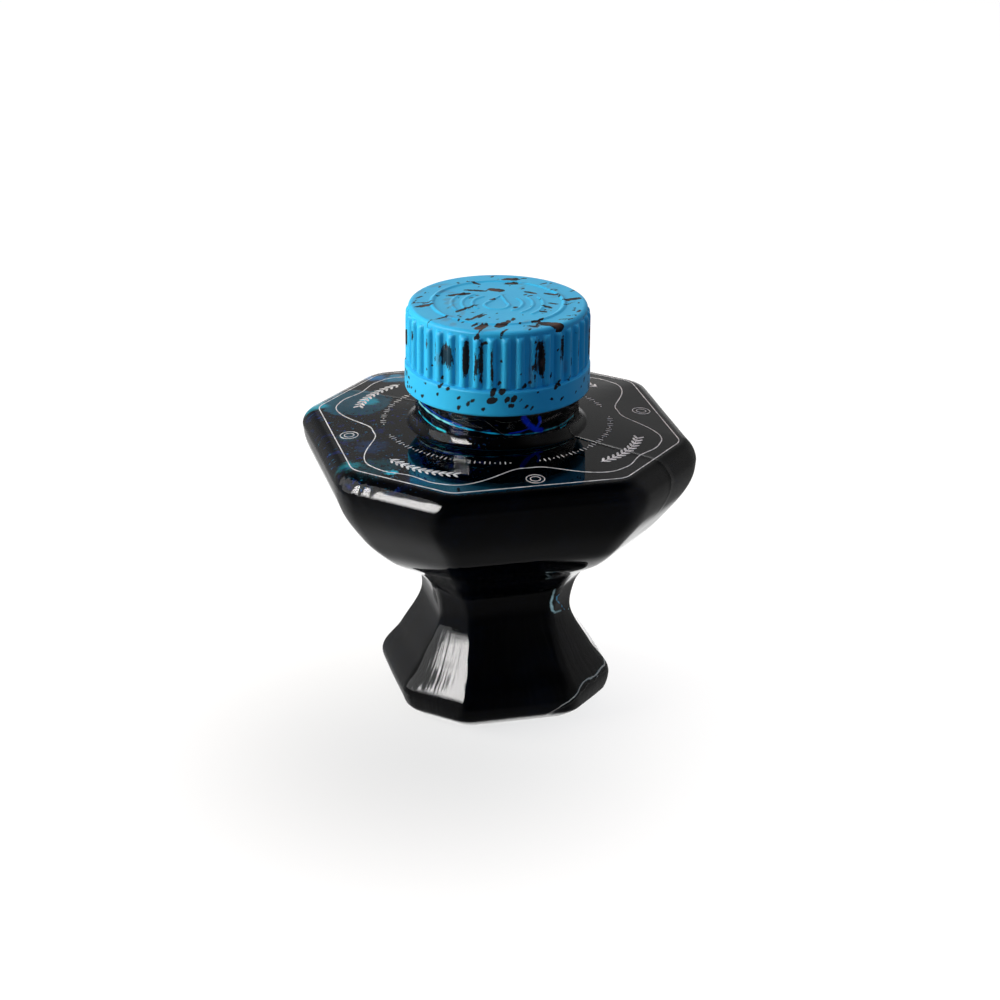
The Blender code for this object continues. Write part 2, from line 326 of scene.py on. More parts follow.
class Tree:
    """A node tree with short ways to add and join its nodes."""

    def __init__(self, tree):
        self.tree = tree

    def add(self, kind, inputs=(), **settings):
        """A new shader node with these settings, its inputs joined or set."""
        node = self.tree.nodes.new("ShaderNode" + kind)
        for key, value in settings.items():
            setattr(node, key, value)
        for key, value in dict(inputs).items():
            self.put(value, node.inputs[key])
        return node

    def put(self, value, socket):
        """Joins a socket to this one, or sets this one to a plain value."""
        if isinstance(value, bpy.types.NodeSocket):
            self.tree.links.new(value, socket)
        else:
            socket.default_value = value

    def math(self, operation, first, second=0.0, clamp=False):
        return self.add("Math", {0: first, 1: second}, operation=operation, use_clamp=clamp).outputs[0]

    def times(self, first, second):
        return self.math("MULTIPLY", first, second)

    def plus(self, first, second):
        return self.math("ADD", first, second)

    def vector(self, operation, first, second=(0.0, 0.0, 0.0)):
        node = self.add("VectorMath", {0: first, 1: second}, operation=operation)
        single = operation in ("DISTANCE", "DOT_PRODUCT", "LENGTH")
        return node.outputs["Value" if single else "Vector"]

    def ramp(self, value, low, high, out_low=0.0, out_high=1.0):
        """The value brought from low..high to out_low..out_high, with soft ends."""
        given = {"Value": value, "From Min": low, "From Max": high, "To Min": out_low, "To Max": out_high}
        return self.add("MapRange", given, interpolation_type="SMOOTHSTEP").outputs["Result"]

    def attribute(self, name):
        return self.add("Attribute", attribute_name=name).outputs["Fac"]

    def distance_to_line(self, place, points):
        """How far a place is from the line through these points."""
        nearest = None
        for start, end in zip(points, points[1:]):
            run = Vector(end) - Vector(start)
            offset = self.vector("SUBTRACT", place, tuple(start))
            along = self.vector("DOT_PRODUCT", offset, tuple(run / run.length_squared))
            along = self.math("MULTIPLY", along, 1.0, clamp=True)
            reach = self.add("VectorMath", {0: tuple(run), "Scale": along}, operation="SCALE")
            away = self.vector("DISTANCE", offset, reach.outputs["Vector"])
            nearest = away if nearest is None else self.math("MINIMUM", nearest, away)
        return nearest

    def mix(self, share, first, second):
        node = self.add("Mix", data_type="RGBA")
        colours = [socket for socket in node.inputs if socket.type == "RGBA"]
        self.put(share, node.inputs[0])
        self.put(first if isinstance(first, bpy.types.NodeSocket) else (*first, 1.0), colours[0])
        self.put(second if isinstance(second, bpy.types.NodeSocket) else (*second, 1.0), colours[1])
        return next(socket for socket in node.outputs if socket.type == "RGBA")


class Nodes(Tree):
    """A material's node tree, around its own shader."""

    def __init__(self, name, settings=()):
        self.material = bpy.data.materials.new(name)
        self.material.use_nodes = True
        super().__init__(self.material.node_tree)
        self.shader = self.tree.nodes["Principled BSDF"]
        self.output = self.tree.nodes["Material Output"]
        for key, value in dict(settings).items():
            self.set(key, value)
        self.place = self.add("TexCoord").outputs["Object"]

    def set(self, name, value):
        self.put(value, self.shader.inputs[name])

    def noise(self, size, stretch=(1.0, 1.0, 1.0), detail=2.0, roughness=0.5, distortion=0.0, place=None):
        """Noise around 0.5 with features of about this size, drawn out along an axis by stretch."""
        place = self.vector("DIVIDE", place or self.place, stretch)
        given = {"Vector": place, "Scale": 1.0 / size, "Detail": detail}
        given |= {"Roughness": roughness, "Distortion": distortion}
        return self.add("TexNoise", given).outputs["Fac"]

    def swing(self, size, amount, **settings):
        """Noise around 0 that is this much from one end of its range to the other."""
        return self.times(self.math("SUBTRACT", self.noise(size, **settings), 0.5), amount)

    def reach(self, x, y, z):
        """How far a point is from this place, given in millimetres."""
        return self.vector("DISTANCE", self.place, (x * MM, y * MM, z * MM))

    def split(self):
        return self.add("SeparateXYZ", {0: self.place}).outputs

    def parting_line(self):
        """How far a point is above or below the line that the base of the mould leaves round the foot,
        and from 0 to 1 how plainly the line shows there."""
        split = self.split()
        angle = self.math("ARCTAN2", split["Y"], split["X"])
        rise = self.ramp(angle, math.radians(-84.0), math.radians(-48.0), 1.6 * MM, 6.7 * MM)
        wobble = self.swing(3.5 * MM, 1.6 * MM)
        away = self.math("ABSOLUTE", self.math("SUBTRACT", self.plus(split["Z"], wobble), rise))
        shown = self.ramp(angle, math.radians(-88.0), math.radians(-58.0))
        return away, self.times(shown, self.ramp(angle, math.radians(140.0), math.radians(100.0)))

    def bump(self, relief, depth):
        """Bumps the surface by a relief from 0 to 1 that is this deep."""
        self.set("Normal", self.add("Bump", {"Distance": depth, "Height": relief}).outputs["Normal"])


# ---------------------------------------------------------------- materials


GLASS = {"Base Color": (0.985, 0.995, 1.0, 1.0), "Roughness": 0.0, "IOR": 1.5, "Transmission Weight": 1.0}
GLASS_RELIEF = 0.045 * MM
GLASS_RING_WIDTH = 2.6 * MM
# The light that gets through, and how fast the rest fades, per metre.
GLASS_ABSORPTION = {"Color": (0.02, 0.72, 0.82, 1.0), "Density": 250.0}


def glass_material():
    """Clear pressed glass: slow ripples, fine draw lines down the foot, and the base mould's parting line."""
    made = Nodes("clear_glass", GLASS)
    height = made.split()["Z"]
    around = made.vector("NORMALIZE", made.vector("MULTIPLY", made.place, (1.0, 1.0, 0.0)))
    unrolled = made.vector("MULTIPLY", around, (14.0 * MM, 14.0 * MM, 0.0))
    unrolled = made.vector("ADD", unrolled, made.vector("MULTIPLY", made.place, (0.0, 0.0, 0.05)))
    draw_lines = made.noise(0.55 * MM, detail=1.0, place=unrolled)
    on_foot = made.ramp(height, 27.0 * MM, 17.0 * MM)
    lines = made.times(draw_lines, on_foot)
    ripple = made.noise(4.5 * MM, detail=1.0)
    away, along = made.parting_line()
    line = made.times(made.ramp(away, 0.24 * MM, 0.0), along)
    # Uneven rings in the glass beside the rim, which curl the highlight's left end.
    warp = made.times(made.noise(5.0 * MM, detail=0.0), 3.0 * MM)
    from_middle = made.plus(made.reach(-28.5, -26.5, 54.4), warp)
    rings = made.math("SINE", made.times(from_middle, 2.0 * math.pi / GLASS_RING_WIDTH))
    beside_rim = made.ramp(made.reach(-33.0, -21.5, 54.2), 6.5 * MM, 3.0 * MM)
    beside_rim = made.times(beside_rim, made.ramp(height, 51.0 * MM, 53.5 * MM))
    relief = made.plus(made.times(ripple, 0.5), made.times(lines, 1.3))
    relief = made.plus(relief, made.times(made.times(rings, beside_rim), 0.5))
    relief = made.plus(relief, made.times(line, 1.6))
    relief = made.times(relief, made.ramp(height, 57.6 * MM, 57.0 * MM))
    made.bump(relief, GLASS_RELIEF)
    absorb = made.add("VolumeAbsorption", GLASS_ABSORPTION)
    made.put(absorb.outputs["Volume"], made.output.inputs["Volume"])
    return made.material


# Painted glow: patches of blue and teal light painted on the ink under the shoulder, standing in for light
# that comes through the glass there.
# Each has its middle as x and y, the reach of its full colour and where that ends, all in millimetres, and
# its colour.
GLOW_PATCH_HEIGHT = 54.5
PAINTED_GLOW_PATCHES = (
    ((-24.6, 19.0), (6.8, 7.6), (0.006, 0.120, 0.170)),
    ((-27.2, -15.2), (2.8, 5.0), (0.004, 0.070, 0.085)),
    ((-31.6, -12.6), (0.9, 2.6), (0.004, 0.300, 0.320)),
    ((-20.5, -22.6), (1.2, 4.0), (0.003, 0.014, 0.075)),
    ((-26.0, -5.0), (1.6, 4.0), (0.006, 0.040, 0.120)),
    ((-29.4, 1.2), (0.8, 3.0), (0.006, 0.090, 0.130)),
    ((-31.8, 19.5), (1.2, 3.0), (0.020, 0.420, 0.520)),
    ((-21.3, 19.0), (1.1, 2.5), (0.004, 0.850, 1.000)),
    ((-25.2, -18.4), (0.5, 1.5), (0.020, 0.850, 1.000)),
    ((-13.4, 30.7), (1.3, 3.2), (0.040, 0.360, 0.560)),
    ((-17.5, 33.0), (1.4, 3.4), (0.060, 0.220, 0.460)),
)

NECK_INK_RADIUS = 12.66


def in_neck(*places):
    """Points on the ink in the neck, in millimetres, from degrees to the right of the front and heights."""
    return [(*polar(NECK_INK_RADIUS, FRONT + degrees), height) for degrees, height in places]


# Painted glints: bright lines of refracted light painted on the ink, low in the neck and at the waist.
# Each has its points in millimetres, half its width in millimetres, and its colour.
PAINTED_GLINT_LINES = (
    (in_neck((-84, 62.3), (-70, 61.95), (-55, 61.5), (-38, 61.05)), 0.32, (0.80, 1.00, 1.00)),
    (in_neck((-76, 62.7), (-60, 62.3), (-44, 61.7), (-30, 61.3)), 0.22, (0.006, 0.070, 0.60)),
    (in_neck((-40, 61.1), (-24, 60.8), (-5, 60.4), (14, 59.95), (32, 59.8)), 0.24, (0.010, 0.480, 0.800)),
    (in_neck((32, 59.8), (48, 59.8), (64, 59.85), (80, 60.1)), 0.24, (0.450, 1.000, 1.000)),
    (in_neck((-84, 60.2), (-66, 59.6), (-52, 59.1)), 0.26, (0.020, 0.800, 0.950)),
    (in_neck((-54, 59.15), (-46, 58.95)), 0.50, (0.060, 1.000, 1.000)),
    (in_neck((22, 63.2), (27, 61.6), (33, 60.3), (38, 60.1)), 0.72, (0.001, 0.045, 0.950)),
    (in_neck((33, 60.5), (37, 61.9), (36, 62.8)), 0.42, (0.001, 0.060, 0.950)),
    (in_neck((28, 61.0), (20, 60.5), (10, 60.3)), 0.20, (0.001, 0.030, 0.600)),
    (in_neck((60, 59.0), (67, 59.2)), 0.34, (0.020, 0.900, 0.950)),
    (((9.43, -13.1, 27.4), (8.45, -13.34, 27.0), (8.24, -12.72, 25.3), (7.98, -12.31, 23.3),
      (8.35, -11.79, 21.2), (8.67, -11.39, 20.5), (10.26, -9.73, 19.9)), 0.36, (1.00, 1.00, 1.00)),
    (((11.07, -9.74, 25.0), (9.59, -11.47, 25.1), (8.92, -12.11, 24.5), (8.92, -11.64, 23.4),
      (10.16, -9.80, 21.5), (11.41, -8.73, 19.3)), 0.26, (0.120, 0.460, 0.760)),
    (((9.59, -11.47, 25.3), (11.07, -9.9, 26.2), (12.31, -10.3, 28.2)), 0.40, (1.00, 0.86, 0.62)),
    (((12.52, -7.64, 19.1), (11.8, -8.6, 18.4), (11.8, -9.3, 17.1)), 0.20, (0.80, 1.00, 1.00)),
)


def ink_material():
    """The ink where it lies against the glass: near black, with a painted glow and painted glints of blue and
    teal light on it.
    """
    made = Nodes("ink", {"Specular IOR Level": 0.0, "Roughness": 0.9})
    cloud = made.noise(7.0 * MM, detail=4.0, roughness=0.62)
    colour = made.mix(made.ramp(cloud, 0.42, 0.74), (0.0005, 0.0006, 0.0010), (0.0010, 0.0016, 0.0045))
    # Painted glow: blue clouds on the ink under the shoulder, on the side the key light comes from.
    painted_glow_side = made.ramp(made.reach(-25.0, -5.0, 55.0), 27.0 * MM, 16.0 * MM)
    on_roof = made.ramp(made.split()["Z"], 53.6 * MM, 54.1 * MM)
    painted_glow_side = made.times(painted_glow_side, on_roof)
    glow_clouds = made.ramp(made.noise(3.4 * MM, detail=4.0, roughness=0.65, distortion=0.4), 0.56, 0.70)
    colour = made.mix(made.times(glow_clouds, painted_glow_side), colour, (0.006, 0.012, 0.110))
    wobble = made.swing(2.6 * MM, 4.6 * MM, detail=5.0, roughness=0.62)
    # Painted glow: the patches of refracted light on the ink under the shoulder.
    for middle, (solid, reach), glint_colour in PAINTED_GLOW_PATCHES:
        away = made.plus(made.reach(*middle, GLOW_PATCH_HEIGHT), wobble)
        colour = made.mix(made.times(made.ramp(away, reach * MM, solid * MM), on_roof), colour, glint_colour)
    # Painted glints: bright blue and teal specks, with darker specks between them, on the same lit side.
    glint_speckle = made.noise(0.9 * MM, detail=3.0, roughness=0.7, distortion=0.3)
    glint_colour = made.mix(made.ramp(made.noise(2.0 * MM), 0.4, 0.6), (0.012, 0.020, 0.320), (0.006, 0.170, 0.280))
    colour = made.mix(made.times(made.ramp(glint_speckle, 0.60, 0.67), painted_glow_side), colour, glint_colour)
    dark = made.times(made.ramp(glint_speckle, 0.42, 0.36), painted_glow_side)
    colour = made.mix(dark, colour, (0.001, 0.002, 0.006))
    # Paints the bright glint lines of refracted light on the ink.
    stir = made.swing(1.3 * MM, 0.34 * MM, detail=2.0)
    for points, half, glint_colour in PAINTED_GLINT_LINES:
        away = made.plus(made.distance_to_line(made.place, in_metres(points)), stir)
        colour = made.mix(made.ramp(away, half * MM, 0.35 * half * MM), colour, glint_colour)
    # A painted highlight on the ink along the mould's parting line round the foot.
    away, along = made.parting_line()
    parting_highlight = made.times(made.ramp(away, 0.20 * MM, 0.04 * MM), along)
    made.set("Base Color", made.mix(parting_highlight, colour, (1.00, 0.66, 0.60)))
    return made.material


def ink_surface_material():
    """The free surface of the ink and the wet film that it leaves inside the neck."""
    made = Nodes("ink_surface")
    made.set("IOR", 1.33)
    made.set("Roughness", made.ramp(made.noise(1.2 * MM), 0.3, 0.7, 0.015, 0.05))
    cloud = made.noise(2.2 * MM, detail=4.0, roughness=0.6)
    cloudy = made.ramp(cloud, 0.42, 0.66)
    made.set("Base Color", made.mix(cloudy, (0.0008, 0.0010, 0.0030), (0.002, 0.006, 0.040)))
    return made.material


PLASTIC = {"IOR": 1.48, "Specular IOR Level": 0.28, "Sheen Weight": 0.08, "Sheen Roughness": 0.45}
CAP_BLUE = (0.018, 0.405, 0.740)
CAP_PALE_BLUE = (0.024, 0.440, 0.760)


def cap_material():
    """Moulded sky-blue plastic with dark flow streaks and specks."""
    made = Nodes("cap_plastic", PLASTIC)
    flow = made.noise(5.0 * MM, stretch=(1.0, 1.0, 2.5), detail=4.0, roughness=0.6)
    blue = made.mix(made.ramp(flow, 0.3, 0.75), CAP_BLUE, CAP_PALE_BLUE)
    ragged = made.swing(0.60 * MM, 0.85, stretch=(1.0, 1.0, 1.6), detail=5.0, roughness=0.72)
    fine = made.swing(0.32 * MM, 3.2, stretch=(1.0, 1.0, 5.0), detail=3.0, roughness=0.7)
    dark = made.ramp(made.plus(made.attribute("fleck"), ragged), -0.03, 0.05)
    smear = made.ramp(made.plus(made.attribute("smear"), fine), 0.0, 0.22)
    ghost = made.ramp(made.plus(made.attribute("ghost"), ragged), -0.15, 0.45, 0.0, 0.34)
    tone = made.plus(made.attribute("tone"), made.swing(2.2 * MM, 2.6, detail=2.0))
    speck = made.mix(made.ramp(tone, 0.25, 0.95), (0.004, 0.004, 0.006), (0.062, 0.030, 0.024))
    colour = made.mix(ghost, blue, (0.10, 0.085, 0.12))
    colour = made.mix(made.times(smear, 0.93), colour, speck)
    made.set("Base Color", made.mix(dark, colour, speck))
    grain = made.noise(0.18 * MM, detail=3.0)
    smooth = made.ramp(grain, 0.25, 0.75, 0.36, 0.48)
    made.set("Roughness", made.math("MAXIMUM", smooth, made.times(dark, 0.8)))
    made.bump(grain, 0.006 * MM)
    return made.material


def print_material():
    """Fired enamel: pale grey, a little uneven in thickness."""
    made = Nodes("print_enamel")
    uneven = made.noise(1.1 * MM, detail=4.0, roughness=0.65)
    made.set("Base Color", made.mix(made.ramp(uneven, 0.35, 0.65), (0.42, 0.43, 0.45), (0.80, 0.81, 0.83)))
    made.set("Roughness", made.ramp(uneven, 0.3, 0.7, 0.4, 0.6))
    return made.material


def liner_material():
    """White foamed polyethylene with fine closed cells."""
    made = Nodes("liner_foam")
    given = {"Vector": made.place, "Scale": 1.0 / (0.35 * MM)}
    cells = made.add("TexVoronoi", given, feature="SMOOTH_F1")
    uneven = made.noise(2.5 * MM, detail=3.0)
    made.set("Base Color", made.mix(made.ramp(uneven, 0.3, 0.7), (0.80, 0.80, 0.77), (0.87, 0.87, 0.85)))
    made.set("Roughness", made.ramp(uneven, 0.3, 0.7, 0.55, 0.75))
    made.bump(cells.outputs["Distance"], 0.06 * MM)
    return made.material


# ---------------------------------------------------------------- glass and ink


def body_outside():
    """Rings from under the foot up to the top of the bead, as an array of rings."""
    rings = [circle(PUNT_RADIUS * share, PUNT_DEPTH) for share in (0.2, 0.6, 0.95)]
    rings.append(circle(PUNT_RADIUS + 0.6 * MM, 0.5 * PUNT_DEPTH))
    rings.append(mixed(circle(PUNT_RADIUS + 1.2 * MM, 0.0), octagon(0.0, 0.9 * MM), 0.06))
    rings.append(octagon(0.0, 0.9 * MM))
    rings.append(octagon(0.09 * MM, 0.35 * MM))
    rows = 96
    heights = [BOWL_TOP * row / rows for row in range(1, rows + 1)]
    heights += [BOWL_TOP + (RIM_TOP - BOWL_TOP) * rise for rise, side in quarter(14)]
    for height in heights:
        inset = quarter_inset(height, BOWL_TOP, RIM_INSET)
        diagonal_inset = quarter_inset(height, DIAGONAL_RIM_START, DIAGONAL_RIM_INSET)
        rings.append(octagon(height, inset, diagonal_inset))
    rim = rings[-1]
    fillet_foot = circle(FILLET_FOOT_RADIUS, NECK_FOOT)
    for share in (0.03, 0.08, 0.15, 0.24, 0.34, 0.45, 0.56, 0.67, 0.78, 0.88, 0.95, 1.0):
        rings.append(mixed(rim, fillet_foot, share))
    for sweep, side in quarter(24):
        radius = FILLET_FOOT_RADIUS - (FILLET_FOOT_RADIUS - BEAD_RADIUS) * sweep
        rings.append(circle(radius, BEAD_BOTTOM - (BEAD_BOTTOM - NECK_FOOT) * side))
    step = BEAD_RADIUS - NECK_RADIUS
    for share in (0.25, 0.5, 0.75, 1.0):
        rings.append(circle(BEAD_RADIUS, BEAD_BOTTOM + (BEAD_TOP - step - BEAD_BOTTOM) * share))
    for rise, side in quarter(5):
        rings.append(circle(BEAD_RADIUS - step * (1.0 - side), BEAD_TOP - step * (1.0 - rise)))
    return np.array(rings)


def outward(grid):
    """The outward direction at each point of an array of rings that run upwards."""
    up = np.gradient(grid, axis=0)
    round_the_ring = np.roll(grid, -1, axis=1) - np.roll(grid, 1, axis=1)
    normals = np.cross(round_the_ring, up)
    return normals / np.maximum(np.linalg.norm(normals, axis=2, keepdims=True), 1e-12)


def fire_polished(grid):
    """The pressed shape with the slow waves that fire polishing leaves, and the mould's seam."""
    flat = grid.reshape(-1, 3)
    waves = 0.030 * lattice_noise(flat, 11.0 * MM, 3) + 0.012 * lattice_noise(flat, 4.5 * MM, 5)
    waves *= smoothstep(1.0 * MM, 5.0 * MM, flat[:, 2]) * smoothstep(57.8 * MM, 56.8 * MM, flat[:, 2])
    lift = waves.reshape(grid.shape[:2]) * MM
    across = np.zeros(FACET_POINTS)
    across[: len(FLAT_SHARES)] = 1.0 - (2.0 * np.array(FLAT_SHARES) - 1.0) ** 2
    on_foot = smoothstep(1.0 * MM, 5.0 * MM, grid[:, :, 2]) * smoothstep(24.0 * MM, 18.0 * MM, grid[:, :, 2])
    lift += FOOT_BULGE * np.tile(across, FACETS) * on_foot
    heights = grid[:, SEAM_COLUMNS, 2]
    seam = smoothstep(44.0 * MM, 52.0 * MM, heights) * smoothstep(60.5 * MM, 59.5 * MM, heights)
    lift[:, SEAM_COLUMNS] += np.array(SEAM_LIFTS) * seam
    return grid + outward(grid) * lift[:, :, None]


def screw_bump(angles, height, turns):
    """How far a helical ridge stands up, from 0 to 1, at these angles and this height."""
    first, last = turns
    stand = np.zeros_like(angles)
    for turn in range(-1, 4):
        along = angles / (2.0 * np.pi) + turn
        fade = np.clip(np.minimum(along - first, last - along) / THREAD_FADE, 0.0, 1.0)
        off = (height - THREAD_START - THREAD_PITCH * along) / THREAD_HALF
        ridge = np.clip(1.5 * (1.0 - off * off), 0.0, 1.0) * (np.abs(off) < 1.0)
        stand = np.maximum(stand, fade * ridge)
    return stand


def threaded(height):
    """A round ring on the neck that stands out where the thread passes."""
    ring = circle(NECK_RADIUS, height)
    stand = screw_bump(RING_ANGLES % (2.0 * np.pi), height, NECK_THREAD_TURNS)
    ring[:, :2] *= (1.0 + THREAD_DEPTH * stand / NECK_RADIUS)[:, None]
    return ring


def neck_outside():
    low, high = BEAD_TOP + 0.4 * MM, LIP_TOP - LIP_ROUND
    rings = [threaded(low + (high - low) * row / 44) for row in range(45)]
    for rise, side in quarter(5):
        rings.append(circle(NECK_RADIUS - LIP_ROUND * (1.0 - side), LIP_TOP - LIP_ROUND * (1.0 - rise)))
    rings.append(circle(BORE_RADIUS + MOUTH_ROUND, LIP_TOP))
    for rise, side in quarter(4):
        rings.append(circle(BORE_RADIUS + MOUTH_ROUND * (1.0 - rise), LIP_TOP - MOUTH_ROUND * (1.0 - side)))
    return rings


def cavity(inset, wall_inset, floor_round=FLOOR_ROUND, rows=30):
    """Rings down the inside of the bottle, from the bottom of the neck bore to the floor."""
    roof = ROOF_BOTTOM - inset
    floor = FLOOR_TOP + wall_inset
    wall = WALL + wall_inset
    bore = BORE_RADIUS - inset
    rings = []
    for sweep, side in [(0.0, 1.0)] + quarter(5):
        rings.append(circle(bore + BORE_FLARE * (1.0 - side), roof + BORE_FOOT * (1.0 - sweep)))
    edge = octagon(roof, wall + ROOF_ROUND)
    start = rings[-1]
    for share in (0.2, 0.45, 0.7, 0.9, 1.0):
        rings.append(mixed(start, edge, share))
    for sweep, side in quarter(6):
        rings.append(octagon(roof - ROOF_ROUND * (1.0 - side), wall + ROOF_ROUND * (1.0 - sweep)))
    upper, lower = roof - ROOF_ROUND, floor + floor_round
    for row in range(1, rows + 1):
        rings.append(octagon(upper + (lower - upper) * row / rows, wall))
    for sweep, side in quarter(6):
        rings.append(octagon(lower - floor_round * sweep, wall + floor_round * (1.0 - side)))
    rings.append(mixed(rings[-1], circle(2.0 * MM, floor), 0.5))
    return rings


def build_glass(material):
    rings = list(fire_polished(body_outside())) + neck_outside() + cavity(0.0, 0.0)
    made = add_object("bottle_glass", skin("bottle_glass", rings), "bottle", [material])
    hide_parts("glass_bottle")
    return made


# The ink reaches this far into the glass, so that no sliver of air shows between them.
INK_OVERLAP = 0.06 * MM
INK_WALL_OVERLAP = 1.3 * MM
INK_FLOOR_ROUND = 1.8 * MM
FILM_THICKNESS = 0.12 * MM


def film_top():
    """How high the wet film of ink reaches inside the neck, at each angle."""
    around = np.stack([np.cos(RING_ANGLES), np.sin(RING_ANGLES), np.zeros(RING_POINTS)], 1)
    return 66.0 * MM + 0.9 * MM * lattice_noise(around, 0.45, 11) + 0.2 * MM * lattice_noise(around, 0.15, 12)


def build_ink(deep, surface):
    """The ink, with the meniscus and the film that wets the neck above it."""
    outer = BORE_RADIUS + INK_OVERLAP
    inner = BORE_RADIUS - FILM_THICKNESS
    rings = [circle(inner * share, INK_LEVEL) for share in (0.25, 0.5, 0.75, 0.88)]
    for share, rise in ((0.93, 0.05), (0.965, 0.16), (0.985, 0.36), (0.996, 0.65), (1.0, 1.0)):
        rings.append(circle(inner * share, INK_LEVEL + rise * MM))
    top = film_top()
    for share in (0.3, 0.6, 0.9, 1.0):
        ring = circle(inner, 0.0)
        ring[:, 2] = INK_LEVEL + 1.0 * MM + (top - INK_LEVEL - 1.0 * MM) * share
        rings.append(ring)
    ring = circle(outer, 0.0)
    ring[:, 2] = top
    rings.append(ring)
    free_rows = len(rings)
    for share in (0.3, 0.6, 0.85):
        ring = circle(outer, 0.0)
        ring[:, 2] = top + (ROOF_BOTTOM + BORE_FOOT - top) * share
        rings.append(ring)
    rings += cavity(-INK_OVERLAP, -INK_WALL_OVERLAP, INK_FLOOR_ROUND)
    mesh = skin("ink_body", rings[::-1])
    made = add_object("ink_body", mesh, "bottle", [deep, surface])
    total = len(rings)
    free = np.zeros(len(mesh.polygons), np.int32)
    first_free = (total - free_rows) * RING_POINTS
    free[first_free : (total - 1) * RING_POINTS] = 1
    free[(total - 1) * RING_POINTS + 1 :: 2] = 1
    mesh.polygons.foreach_set("material_index", free)
    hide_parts("ink_fill")
    return made


# ---------------------------------------------------------------- the print on the shoulder

PRINT_RISE = 0.03 * MM
PRINT_SINK = 0.03 * MM
LINE_WIDTH = 0.20 * MM
FINE_LINE_WIDTH = 0.16 * MM


def print_strip(bm, surface, path, width, closed=True):
    """A flat raised line along a path of x and y, laid on the glass."""
    path = np.asarray(path)
    if closed:
        ahead = np.roll(path, -1, axis=0) - np.roll(path, 1, axis=0)
    else:
        ahead = np.gradient(path, axis=0)
    ahead /= np.linalg.norm(ahead, axis=1, keepdims=True)
    aside = np.stack([-ahead[:, 1], ahead[:, 0]], 1) * 0.5 * width
    left, right = path + aside, path - aside
    rows = []
    for a, b in zip(left, right):
        high_a, high_b = surface(a), surface(b)
        corners = (
            (*a, high_a + PRINT_RISE),
            (*b, high_b + PRINT_RISE),
            (*b, high_b - PRINT_SINK),
            (*a, high_a - PRINT_SINK),
        )
        rows.append([bm.verts.new(corner) for corner in corners])
    count = len(rows)
    for i in range(count if closed else count - 1):
        row, following = rows[i], rows[(i + 1) % count]
        for k in range(4):
            j = (k + 1) % 4
            bm.faces.new((row[k], following[k], following[j], row[j]))
    if not closed:
        bm.faces.new(rows[0])
        bm.faces.new(reversed(rows[-1]))


def print_spot(bm, surface, centre, half_length, half_width, angle, points=12):
    """A small filled leaf or dot."""
    turns = 2.0 * np.pi * np.arange(points) / points
    along, across = half_length * np.cos(turns), half_width * np.sin(turns)
    xs = centre[0] + along * math.cos(angle) - across * math.sin(angle)
    ys = centre[1] + along * math.sin(angle) + across * math.cos(angle)
    heights = [surface((x, y)) for x, y in zip(xs, ys)]
    top = [bm.verts.new((x, y, z + PRINT_RISE)) for x, y, z in zip(xs, ys, heights)]
    low = [bm.verts.new((x, y, z - PRINT_SINK)) for x, y, z in zip(xs, ys, heights)]
    bm.faces.new(top)
    bm.faces.new(reversed(low))
    for i in range(points):
        j = (i + 1) % points
        bm.faces.new((top[j], top[i], low[i], low[j]))


# The eight-sided border, the leaf sprigs, the ripples at the main facets, and the ring of ticks and dots.
BORDER = (32.5 * MM, 34.9 * MM, 4.0 * MM)
STEM_RADIUS = 28.4
LEAF = (0.78 * MM, 0.26 * MM)
LEAF_LEAN = 38.0
LEAF_OFFSET = 0.85 * MM
RIPPLE_PLACE = 29.6 * MM
RIPPLE_RADII = (1.75 * MM, 0.95 * MM)
TICK_RADIUS = 22.3 * MM
TICK_STEP = 2.5
TICK_GAP = 7.0
TICK = (0.60 * MM, 0.10 * MM)
DOT = (0.15 * MM, 0.15 * MM)


def on_stem(middle, along):
    """A point on the slightly bowed stem of the sprig round this angle, so many degrees along it."""
    return polar((STEM_RADIUS + 0.5 * np.cos(np.radians(along * 6.0))) * MM, middle + along)


